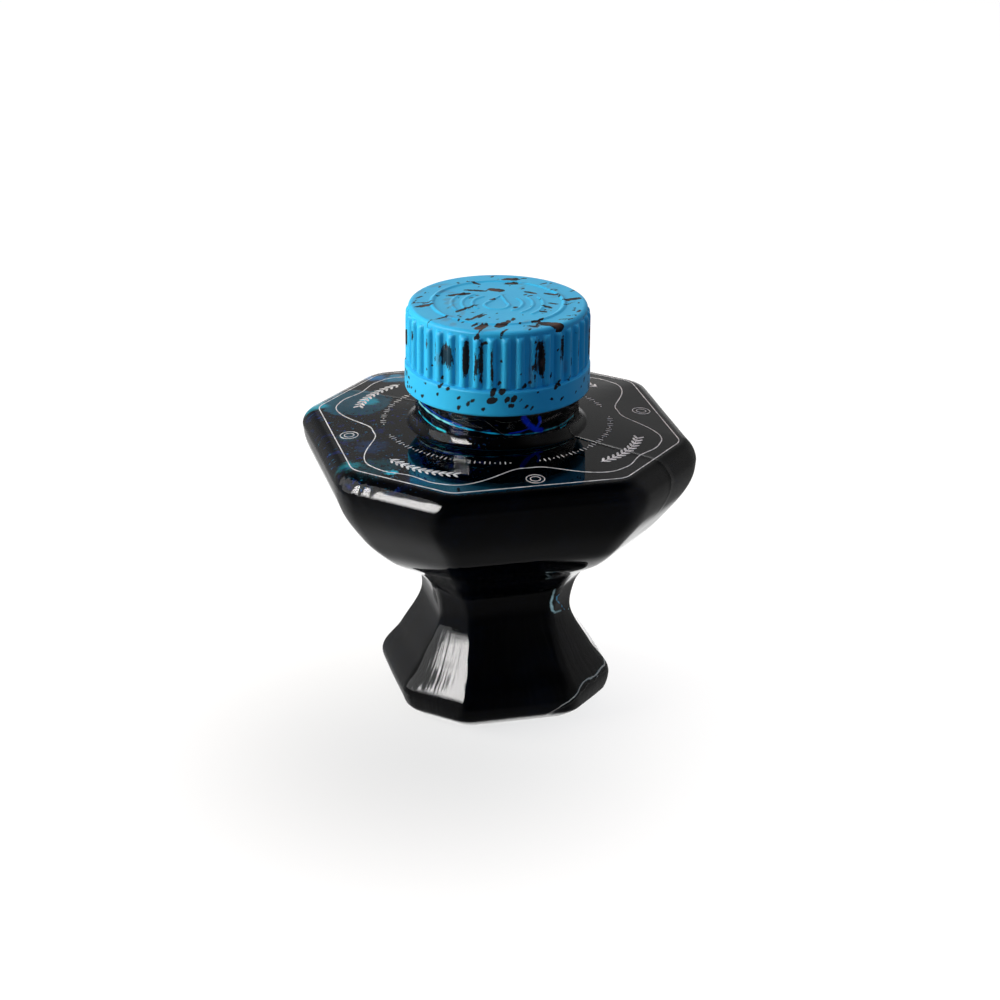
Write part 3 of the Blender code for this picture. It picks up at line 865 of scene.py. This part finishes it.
def build_print(glass, material):
    """A plain ornament of lines, leaves and ticks around the shoulder."""
    tree = BVHTree.FromPolygons(
        [v.co.copy() for v in glass.data.vertices], [list(p.vertices) for p in glass.data.polygons]
    )

    def surface(point):
        hit = tree.ray_cast(Vector((point[0], point[1], 0.1)), Vector((0.0, 0.0, -1.0)))
        return hit[0].z

    bm = bmesh.new()
    print_strip(bm, surface, eight_sided(*BORDER), LINE_WIDTH)
    degrees = np.arange(0.0, 360.0, 1.0)
    off = np.abs((degrees + 45.0) % 90.0 - 45.0)
    reach = 24.8 + 8.3 * smoothstep(3.0, 30.0, off) - 1.2 * smoothstep(34.0, 45.0, off)
    print_strip(bm, surface, polar(reach * MM, degrees), LINE_WIDTH)
    for middle in (45.0, 135.0, 225.0, 315.0):
        stem = np.linspace(-15.0, 15.0, 31)
        print_strip(bm, surface, on_stem(middle, stem), FINE_LINE_WIDTH, False)
        for place in np.arange(-14.0, 14.1, 2.8):
            for side in (-1.0, 1.0):
                lean = math.radians(middle + place + 90.0 + side * LEAF_LEAN)
                centre = on_stem(middle, place) + LEAF_OFFSET * np.array([math.cos(lean), math.sin(lean)])
                print_spot(bm, surface, centre, *LEAF, lean)
    for middle in (0.0, 90.0, 180.0, 270.0):
        centre = polar(RIPPLE_PLACE, middle)
        for radius in RIPPLE_RADII:
            print_strip(bm, surface, centre + polar(radius, np.arange(0.0, 360.0, 12.0)), FINE_LINE_WIDTH)
    for tick in np.arange(0.0, 360.0, TICK_STEP):
        if abs((tick + 45.0) % 90.0 - 45.0) < TICK_GAP:
            continue
        dot = round(tick / TICK_STEP) % 3 == 0
        size, angle = (DOT, 0.0) if dot else (TICK, math.radians(tick))
        print_spot(bm, surface, polar(TICK_RADIUS, tick), *size, angle, 8)
    bmesh.ops.recalc_face_normals(bm, faces=bm.faces)
    mesh = bpy.data.meshes.new("shoulder_print")
    bm.to_mesh(mesh)
    bm.free()
    return add_object("shoulder_print", mesh, "bottle", [material])


# ---------------------------------------------------------------- cap and liner

RIB_STEPS = 12
CAP_POINTS = RIB_COUNT * RIB_STEPS
CAP_ANGLES = 2.0 * np.pi * np.arange(CAP_POINTS) / CAP_POINTS


def cap_ring(radius, height):
    height = np.broadcast_to(height, CAP_POINTS)
    return np.stack([radius * np.cos(CAP_ANGLES), radius * np.sin(CAP_ANGLES), height], 1)


def rib_ring(height, share):
    """A ring of upright ribs with half-round crests."""
    across = (np.arange(CAP_POINTS) % RIB_STEPS) / RIB_STEPS
    across = np.minimum(across, 1.0 - across) / 0.29
    stand = np.sqrt(np.clip(1.0 - across * across, 0.0, 1.0))
    depth = RIB_CREST_RADIUS - RIB_VALLEY_RADIUS
    return cap_ring(RIB_VALLEY_RADIUS + depth * stand * share, height)


RIB_DOME_STEPS = ((0.0, 0.0), (0.45, 0.12), (0.72, 0.3), (0.92, 0.6), (1.0, 1.0))
EMBLEM_UP = math.radians(68.0)
EMBLEM_HEIGHT = 0.15 * MM
EMBLEM_HALF_WIDTH = 0.42 * MM


def emblem_strokes():
    """The raised mark on top of the cap: a drop between ripples. Lists of points, in metres."""
    turns = np.radians(np.linspace(-218.0, 38.0, 40))
    bulb = np.stack([2.35 * np.cos(turns), 2.35 * np.sin(turns) - 1.6], 1)
    drop = np.concatenate([[[0.0, 4.3]], bulb, [[0.0, 4.3]]])
    strokes = [drop]
    for radius, half in ((4.9, 46.0), (6.9, 40.0), (8.9, 34.0)):
        for side in (0.0, 180.0):
            turns = np.radians(np.linspace(side - half, side + half, 24))
            strokes.append(np.stack([radius * np.cos(turns), radius * np.sin(turns) - 0.6], 1))
    turn = EMBLEM_UP - 0.5 * math.pi
    rotate = np.array([[math.cos(turn), math.sin(turn)], [-math.sin(turn), math.cos(turn)]])
    return [stroke @ rotate * MM for stroke in strokes]


def distance_to(points, stroke):
    """The distance from each point to a line through the stroke's points."""
    nearest = np.full(len(points), np.inf)
    for start, end in zip(stroke, stroke[1:]):
        run = end - start
        share = np.clip((points - start) @ run / max(run @ run, 1e-15), 0.0, 1.0)
        nearest = np.minimum(nearest, np.linalg.norm(points - start - share[:, None] * run, axis=1))
    return nearest


def cap_top_rings():
    """Rings over the raised ring and inwards over the disc, with the raised mark on it."""
    rings = [cap_ring(TOP_RING_RADIUS + 1.4 * TOP_RING_HALF_WIDTH, CAP_TOP)]
    for offset in np.linspace(1.0, -1.0, 9):
        height = CAP_TOP + TOP_RING_HEIGHT * max(math.cos(0.5 * math.pi * offset), 0.0) ** 1.2
        rings.append(cap_ring(TOP_RING_RADIUS + offset * TOP_RING_HALF_WIDTH, height))
    strokes = emblem_strokes()
    for radius in np.linspace(TOP_RING_RADIUS - 1.3 * TOP_RING_HALF_WIDTH, 0.25 * MM, 60):
        ring = cap_ring(radius, CAP_TOP)
        off = np.min([distance_to(ring[:, :2], stroke) for stroke in strokes], axis=0)
        ring[:, 2] += EMBLEM_HEIGHT * smoothstep(EMBLEM_HALF_WIDTH, 0.3 * EMBLEM_HALF_WIDTH, off)
        rings.append(ring)
    return rings


def cap_outside():
    rings = []
    for rise, side in quarter(4):
        rings.append(cap_ring(CAP_RADIUS - 0.4 * MM * (1.0 - rise), CAP_BOTTOM + 0.4 * MM * (1.0 - side)))
    low, high = CAP_BOTTOM + 0.4 * MM, BAND_TOP - 0.3 * MM
    rings += [cap_ring(CAP_RADIUS, low + (high - low) * row / 14) for row in range(1, 15)]
    for rise, side in quarter(4):
        rings.append(cap_ring(CAP_RADIUS - 0.25 * MM * (1.0 - side), BAND_TOP - 0.3 * MM * (1.0 - rise)))
    rings += [rib_ring(RIB_BOTTOM + RIB_DOME * height, share) for share, height in RIB_DOME_STEPS]
    low, high = RIB_BOTTOM + RIB_DOME, RIB_TOP - RIB_DOME
    rings += [rib_ring(low + (high - low) * row / 26, 1.0) for row in range(1, 26)]
    rings += [rib_ring(RIB_TOP - RIB_DOME * height, share) for share, height in reversed(RIB_DOME_STEPS)]
    edge = RIB_VALLEY_RADIUS + 0.1 * MM
    for rise, side in quarter(8):
        rings.append(cap_ring(edge - CAP_EDGE_ROUND * (1.0 - side), CAP_TOP - CAP_EDGE_ROUND * (1.0 - rise)))
    outer = edge - CAP_EDGE_ROUND
    inner = TOP_RING_RADIUS + 1.4 * TOP_RING_HALF_WIDTH
    rings += [cap_ring(outer + (inner - outer) * row / 9, CAP_TOP) for row in range(1, 9)]
    return rings + cap_top_rings()


# Flow marks in the plastic. On the side: degrees to the right of the front, height, half length, half
# width, lean in degrees. On top: x, y, half length, half width, direction in degrees. Millimetres.
SIDE_STREAKS = (
    (-19.7, 76.3, 3.6, 0.6, 0), (-13.6, 75, 3, 0.22, 3), (-10.2, 76, 4, 0.36, 0), (-3.3, 75, 4.2, 0.24, -1),
    (28.6, 76, 3.6, 0.62, -2), (23.8, 76, 3.3, 0.2, 2), (25.8, 79, 0.9, 0.55, 30),
    (42.6, 77.6, 2.1, 0.3, 0), (45.6, 77.4, 2.1, 0.34, 0), (44, 79.4, 0.8, 0.3, 80),
    (44.2, 75.4, 0.6, 0.24, 80), (53, 77.4, 1.8, 0.3, 6), (53.5, 73.6, 1, 0.42, 0), (60, 76, 2.4, 0.22, 0),
    (71, 77.6, 3.6, 0.42, 0), (-70, 77.2, 2.4, 0.3, 0), (-66, 77.8, 1, 0.26, 0),
    (-42.5, 76.8, 1.6, 0.22, 0), (-8, 79.9, 0.7, 0.36, 70), (-13, 81.1, 0.7, 0.5, 60),
    (36, 72.4, 0.7, 0.24, 10),
)
BAND_SPECKS = (
    (-2.5, 70.39, 0.84, 0.53, 20), (3.1, 70.47, 0.79, 0.49, 60), (1.2, 71.86, 0.44, 0.28, 35),
    (-3.1, 68.68, 1.04, 0.65, 75), (6.2, 68.85, 0.74, 0.46, 50), (10, 68.98, 0.84, 0.53, 40),
    (8.8, 67.62, 0.69, 0.43, 85), (17.1, 71.13, 0.69, 0.43, 65), (20.4, 71.78, 0.44, 0.28, 30),
    (28.6, 73.51, 0.49, 0.31, 55), (41.5, 70.73, 0.69, 0.43, 20), (38.3, 70.02, 0.54, 0.34, 60),
    (51.5, 70.95, 0.64, 0.4, 35), (-31.4, 69.95, 0.54, 0.34, 75), (-37.5, 70.08, 0.59, 0.37, 50),
    (-39.1, 68.37, 0.44, 0.28, 40), (-49.5, 69.77, 0.39, 0.25, 85), (-52.5, 66.88, 0.54, 0.34, 65),
    (-60.4, 67, 0.44, 0.28, 30), (-23.7, 68.64, 0.44, 0.28, 55), (-17.7, 67.74, 0.59, 0.37, 20),
    (-14.5, 68.45, 0.54, 0.34, 60), (-23.7, 66.66, 0.59, 0.37, 35), (-8.1, 66.84, 0.54, 0.34, 75),
    (17.7, 67.14, 0.54, 0.34, 50), (21.7, 66.77, 0.49, 0.31, 40), (35.2, 67.89, 0.39, 0.25, 85),
    (43.2, 67.41, 0.44, 0.28, 65), (-36.7, 71.73, 0.44, 0.28, 30), (56.8, 67.6, 0.39, 0.25, 55),
    (-73, 67.43, 0.39, 0.25, 20), (-65.9, 67.13, 0.35, 0.22, 60), (63, 67.87, 0.44, 0.28, 35),
    (25.1, 69.76, 0.3, 0.19, 75), (14.5, 68.65, 0.35, 0.22, 50),
)
SIDE_SMEARS = (
    (-33, 76.4, 3.6, 2.1, 0), (-49.5, 77.6, 3, 0.9, 0), (-12.2, 75.6, 3.8, 1.1, 0),
    (26.2, 75.6, 3.3, 1.3, 0), (95, 76.4, 3.4, 1.6, 0), (140, 75.6, 3.6, 1.2, 0), (-110, 76.6, 3.2, 1.8, 0),
    (-150, 75.2, 3, 1.1, 0),
)
TOP_DASHES = (
    (-6.6, -1.9, 3.3, 0.34, 30), (-7.6, -2.9, 1.9, 0.26, 30), (-6.4, -7.5, 2.9, 0.36, 41),
    (-5, -7.1, 1.4, 0.3, 41), (-8.2, -8.4, 0.9, 0.4, 41), (-6.6, -13.2, 1.9, 0.85, 40),
    (-7.6, -11.8, 1.2, 0.36, 40), (-2.4, -12.8, 2, 0.95, 38), (-0.9, -11.4, 1, 0.5, 70),
    (0.4, -10.2, 0.9, 0.4, 62), (6.9, -14.6, 2.9, 1.15, -24), (4.2, -12.6, 1.1, 0.4, 14),
    (3, -14.9, 1.1, 0.42, -30), (5.6, -11.6, 0.8, 0.36, 40), (-6.3, 6.2, 2.5, 0.66, 4),
    (-2.6, 7.9, 2.2, 0.5, -22), (1.4, 7.3, 1.7, 0.9, -30), (5.3, 10.4, 1.4, 0.66, -10),
    (5.9, 13, 1.8, 0.8, -4), (-1.8, 12.4, 1.7, 0.34, -52), (11.4, 2.4, 1.7, 0.42, -34),
    (7.6, 4.3, 1.5, 0.46, -40), (14.4, -1.3, 2.1, 0.62, 12), (12.4, 4.6, 0.9, 0.36, 20),
    (8.6, -4.6, 1.1, 0.5, -50), (10.2, -3, 1, 0.4, -40), (2.6, -3.6, 0.6, 0.5, 20),
    (-0.6, 1.9, 0.7, 0.52, 30), (7.2, -7.2, 0.8, 0.44, -30), (-14.4, 1.2, 1.9, 0.6, 16),
    (-12.6, -6.4, 1.5, 0.3, 24), (13.8, -8.4, 0.9, 0.34, 50),
)
MARK_RADIUS = 17.6 * MM


def side_mark(degrees, height, half_length, half_width, lean):
    """A mark on the cap's side: its middle, long direction, short direction, half length, half width."""
    turn = math.radians(FRONT + degrees)
    aside = np.array([-math.sin(turn), math.cos(turn), 0.0])
    up = np.array([0.0, 0.0, 1.0])
    lean = math.radians(lean)
    middle = np.array([MARK_RADIUS * math.cos(turn), MARK_RADIUS * math.sin(turn), height * MM])
    along = up * math.cos(lean) + aside * math.sin(lean)
    across = aside * math.cos(lean) - up * math.sin(lean)
    return middle, along, across, half_length * MM, half_width * MM


def top_mark(x, y, half_length, half_width, degrees):
    turn = math.radians(degrees)
    along = np.array([math.cos(turn), math.sin(turn), 0.0])
    across = np.array([-math.sin(turn), math.cos(turn), 0.0])
    return np.array([x * MM, y * MM, CAP_TOP]), along, across, half_length * MM, half_width * MM


def random_marks(rng):
    """Marks in the places that the chosen ones leave: streaks and specks on the side, dashes on top."""
    some = rng.uniform
    marks, ghosts = [], []
    for _ in range(34):
        away = some(80.0, 280.0)
        marks.append(side_mark(away, some(73, 79), some(0.8, 3.4), some(0.18, 0.6), some(-4, 4)))
    for _ in range(46):
        away = some(0, 360)
        marks.append(side_mark(away, some(71, 80.5), some(0.2, 0.6), some(0.12, 0.26), some(-20, 20)))
    for _ in range(110):
        size = some(0.16, 0.42)
        height = 70.9 - 5.6 * some(0, 1)
        marks.append(side_mark(some(66, 294), height, size * some(1.1, 1.9), size, some(20, 110)))
    for _ in range(60):
        place = polar(16.6 * math.sqrt(some(0.06, 1)), some(0, 360))
        small = some(0.2, 0.55)
        marks.append(top_mark(*place, small, 0.5 * small, some(0, 70)))
    for _ in range(16):
        place = polar(some(13.6, 16.8), some(0, 360))
        marks.append(top_mark(*place, some(0.7, 1.6), some(0.12, 0.3), some(0, 60)))
    for _ in range(26):
        place = polar(16.5 * math.sqrt(some(0.3, 1)), some(0, 360))
        ghosts.append(top_mark(*place, some(1, 2.6), some(0.3, 0.9), some(0, 70)))
    for _ in range(24):
        ghosts.append(side_mark(some(0, 360), some(73, 79), some(1, 3), some(0.3, 0.8), 0))
    return marks, ghosts


def depth_inside(points, marks):
    """How far each point is inside the nearest mark, in millimetres, negative outside all of them."""
    depth = np.full(len(points), -4.0)
    for middle, along, across, half_length, half_width in marks:
        offset = points - middle
        near = np.flatnonzero(np.abs(offset).max(1) < half_length + 4.0 * MM)
        offset = offset[near]
        through = np.cross(along, across)
        reach = (
            np.abs(offset @ along / half_length) ** 2.6
            + np.abs(offset @ across / half_width) ** 2.6
            + np.abs(offset @ through / (1.6 * MM)) ** 2.6
        ) ** (1.0 / 2.6)
        inside = (1.0 - reach) * half_width / MM
        depth[near] = np.maximum(depth[near], inside)
    return depth


def mark_cap(mesh):
    """Stores the flow marks as attributes of the cap's points."""
    points = mesh_points(mesh)
    marks, ghosts = random_marks(np.random.default_rng(21))
    chosen = [side_mark(*mark) for mark in SIDE_STREAKS + BAND_SPECKS]
    chosen += [top_mark(*mark) for mark in TOP_DASHES]
    outside = points[:, 2] > CAP_BOTTOM - 1.0 * MM
    fleck = depth_inside(points, marks + chosen)
    smears = depth_inside(points, [side_mark(*mark) for mark in SIDE_SMEARS])
    set_attribute(mesh, "fleck", np.where(outside, fleck, -4.0))
    set_attribute(mesh, "smear", smears - 0.55)
    set_attribute(mesh, "ghost", depth_inside(points, ghosts))
    on_top = smoothstep(80.6 * MM, 81.6 * MM, points[:, 2])
    deep = smoothstep(0.1, 0.5, fleck)
    on_band = smoothstep(71.5 * MM, 70.5 * MM, points[:, 2])
    set_attribute(mesh, "tone", 0.30 * on_top + 0.45 * deep - 1.5 * on_band)


def build_cap(material):
    inside = [
        cap_ring(CAP_BORE_RADIUS * 0.5, CAP_CEILING),
        cap_ring(CAP_BORE_RADIUS - 0.5 * MM, CAP_CEILING),
        cap_ring(CAP_BORE_RADIUS, CAP_CEILING - 0.5 * MM),
    ]
    high, low = CAP_CEILING - 0.8 * MM, CAP_BOTTOM + 0.3 * MM
    rows = 44
    for row in range(rows + 1):
        height = high + (low - high) * row / rows
        stand = screw_bump(CAP_ANGLES, height + 0.5 * THREAD_PITCH, CAP_THREAD_TURNS)
        inside.append(cap_ring(CAP_BORE_RADIUS - THREAD_DEPTH * stand, height))
    inside.append(cap_ring(CAP_BORE_RADIUS + 0.3 * MM, CAP_BOTTOM))
    mesh = skin("cap", inside + cap_outside(), 50.0)
    mark_cap(mesh)
    made = add_object("cap", mesh, "cap", [material])
    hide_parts("cap_shell")
    return made


def build_liner(material):
    """The sealing wad, with the ring that the lip of the glass presses into its underside."""
    radius = LINER_HIGH.x
    low, high = LINER_LOW.z, LINER_HIGH.z
    lip_middle = 0.5 * (BORE_RADIUS + NECK_RADIUS)
    lip_half = 0.5 * (NECK_RADIUS - BORE_RADIUS)
    rings = []
    for distance in np.linspace(2.0 * MM, radius - 0.3 * MM, 48):
        off = abs(distance - lip_middle) / lip_half
        pressed = 0.22 * MM * (1.0 - smoothstep(0.75, 1.05, off))
        rings.append(circle(distance, low + pressed))
    for rise, side in quarter(4):
        rings.append(circle(radius - 0.3 * MM * (1.0 - rise), low + 0.3 * MM * (1.0 - side)))
    for rise, side in [(0.0, 1.0)] + quarter(4):
        rings.append(circle(radius - 0.3 * MM * (1.0 - side), high - 0.3 * MM * (1.0 - rise)))
    made = add_object("sealing_wad", skin("sealing_wad", rings, 60.0), "liner", [material])
    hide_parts("cap_liner")
    return made


# ---------------------------------------------------------------- stage, lights and camera


def towards(azimuth, elevation):
    """A direction from the object. Azimuth is measured from the camera's side, to its right."""
    turn = math.radians(azimuth) - VIEW_AZIMUTH
    flat = math.cos(math.radians(elevation))
    return Vector((math.sin(turn) * flat, -math.cos(turn) * flat, math.sin(math.radians(elevation))))


# The floor's glow, from the painted shadow at its dimmest place beside the foot up to full, and how far away
# it is full.
FLOOR_GLOW = (0.70, 0.95)
FLOOR_GLOW_REACH = 0.085
FLOOR_SHADOW_MIDDLE = (-24.0, -30.0, 0.0)


def build_floor():
    """A white floor that glows, with a painted soft shadow beside the foot. It is left out of reflections and
    bounces, which see the studio instead.
    """
    mesh = bpy.data.meshes.new("floor")
    bm = bmesh.new()
    bmesh.ops.create_circle(bm, cap_ends=True, segments=96, radius=4.0)
    bm.to_mesh(mesh)
    bm.free()
    floor = bpy.data.objects.new("floor", mesh)
    bpy.context.scene.collection.objects.link(floor)
    made = Nodes("floor", {"Roughness": 0.9, "Specular IOR Level": 0.0})
    made.set("Base Color", (0.15, 0.15, 0.15, 1.0))
    made.set("Emission Color", (1.0, 1.0, 1.0, 1.0))
    # Painted shadow: the glow is dimmer near the foot.
    away = made.reach(*FLOOR_SHADOW_MIDDLE)
    made.set("Emission Strength", made.ramp(away, 0.0, FLOOR_GLOW_REACH, *FLOOR_GLOW))
    mesh.materials.append(made.material)
    floor.visible_glossy = False
    floor.visible_diffuse = False


LIGHT_DISTANCE = 0.55
# A name, the azimuth and elevation of its middle, its width and height in degrees, how bright it is in red,
# green and blue, and whether it shows in reflections and whether it lights dull surfaces.
SOFTBOXES = (
    ("key_strip_core", -51.3, 31.5, 22.6, 21.0, (5.5, 5.4, 5.3), True, False),
    ("key_strip_inner", -51.6, 30.0, 23.2, 26.0, (4.5, 4.4, 4.3), True, False),
    ("key_strip_outer", -51.9, 28.0, 23.8, 32.0, (3.6, 3.5, 3.5), True, False),
    ("key_strip_edge", -52.5, 27.0, 25.0, 38.0, (1.5, 1.5, 1.5), True, False),
    ("key_panel", -80.0, 26.0, 44.0, 50.0, (1.1, 1.1, 1.1), True, True),
    ("key_fill", -84.0, 16.0, 50.0, 34.0, (8.8, 8.6, 7.7), False, True),
    ("top_fill", 175.0, 64.0, 56.0, 56.0, (1.95, 1.56, 1.34), False, True),
    ("front_fill", 38.0, 40.0, 60.0, 50.0, (0.40, 0.52, 0.80), False, True),
)


def build_softboxes():
    for name, azimuth, elevation, width, height, brightness, reflected, lights in SOFTBOXES:
        data = bpy.data.lights.new(name, "AREA")
        data.shape = "RECTANGLE"
        data.size = 2.0 * LIGHT_DISTANCE * math.tan(math.radians(0.5 * width))
        data.size_y = 2.0 * LIGHT_DISTANCE * math.tan(math.radians(0.5 * height))
        data.color = brightness
        data.energy = math.pi * data.size * data.size_y
        light = bpy.data.objects.new(name, data)
        away = towards(azimuth, elevation)
        light.location = VIEW_TARGET + away * LIGHT_DISTANCE
        light.rotation_mode = "QUATERNION"
        light.rotation_quaternion = away.to_track_quat("Z", "Y")
        light.visible_glossy = reflected
        light.visible_diffuse = lights
        bpy.context.scene.collection.objects.link(light)


WALL_GLOW = 0.012


def build_world():
    """Dim studio walls: dark on the camera's side, pale behind, with a bright gap straight behind."""
    world = bpy.data.worlds.new("studio")
    bpy.context.scene.world = world
    world.use_nodes = True
    made = Tree(world.node_tree)
    toward = made.add("TexCoord").outputs["Generated"]
    ahead = made.vector("DOT_PRODUCT", toward, towards(180.0, 0.0))
    right = made.vector("DOT_PRODUCT", toward, towards(90.0, 0.0))
    up = made.vector("DOT_PRODUCT", toward, (0.0, 0.0, 1.0))
    beside = made.math("ABSOLUTE", right)
    gap = made.times(made.ramp(beside, 0.30, 0.10), made.ramp(ahead, 0.3, 0.6))
    back_left = made.ramp(made.math("SUBTRACT", ahead, right), 0.3, 1.2)
    total = WALL_GLOW
    for part in (
        made.ramp(right, 0.35, 0.85, 0.0, 0.10),
        made.ramp(right, -0.30, -0.90, 0.0, 0.16),
        made.ramp(ahead, -0.15, 0.70, 0.0, 0.12),
        made.ramp(up, -0.40, -0.75, 0.0, 0.05),
        made.times(made.ramp(up, -0.25, -0.55, 0.0, 0.30), back_left),
        made.times(gap, made.ramp(up, 0.34, 0.05, 0.12, 1.0)),
    ):
        total = made.plus(part, total)
    background = world.node_tree.nodes["Background"]
    total = made.times(total, made.ramp(up, 0.95, 0.55, 0.35, 1.0))
    made.put(total, background.inputs["Color"])
    background.inputs["Strength"].default_value = 1.0


def build_camera():
    data = bpy.data.cameras.new("camera")
    data.lens = LENS
    data.sensor_width = 36.0
    data.shift_x, data.shift_y = VIEW_SHIFT
    data.clip_start = 0.01
    data.clip_end = 20.0
    camera = bpy.data.objects.new("camera", data)
    bpy.context.scene.collection.objects.link(camera)
    back = towards(0.0, math.degrees(VIEW_ELEVATION))
    camera.location = VIEW_TARGET + back * VIEW_DISTANCE
    camera.rotation_mode = "QUATERNION"
    level = (-back).to_track_quat("-Z", "Y")
    camera.rotation_quaternion = level @ Quaternion((0.0, 0.0, 1.0), VIEW_ROLL)
    bpy.context.scene.camera = camera


def build_stage():
    bpy.context.scene.view_settings.view_transform = "Standard"
    build_camera()
    build_floor()
    build_world()
    build_softboxes()


# ---------------------------------------------------------------- the whole

glass = build_glass(glass_material())
build_ink(ink_material(), ink_surface_material())
build_print(glass, print_material())
build_cap(cap_material())
build_liner(liner_material())
build_stage()
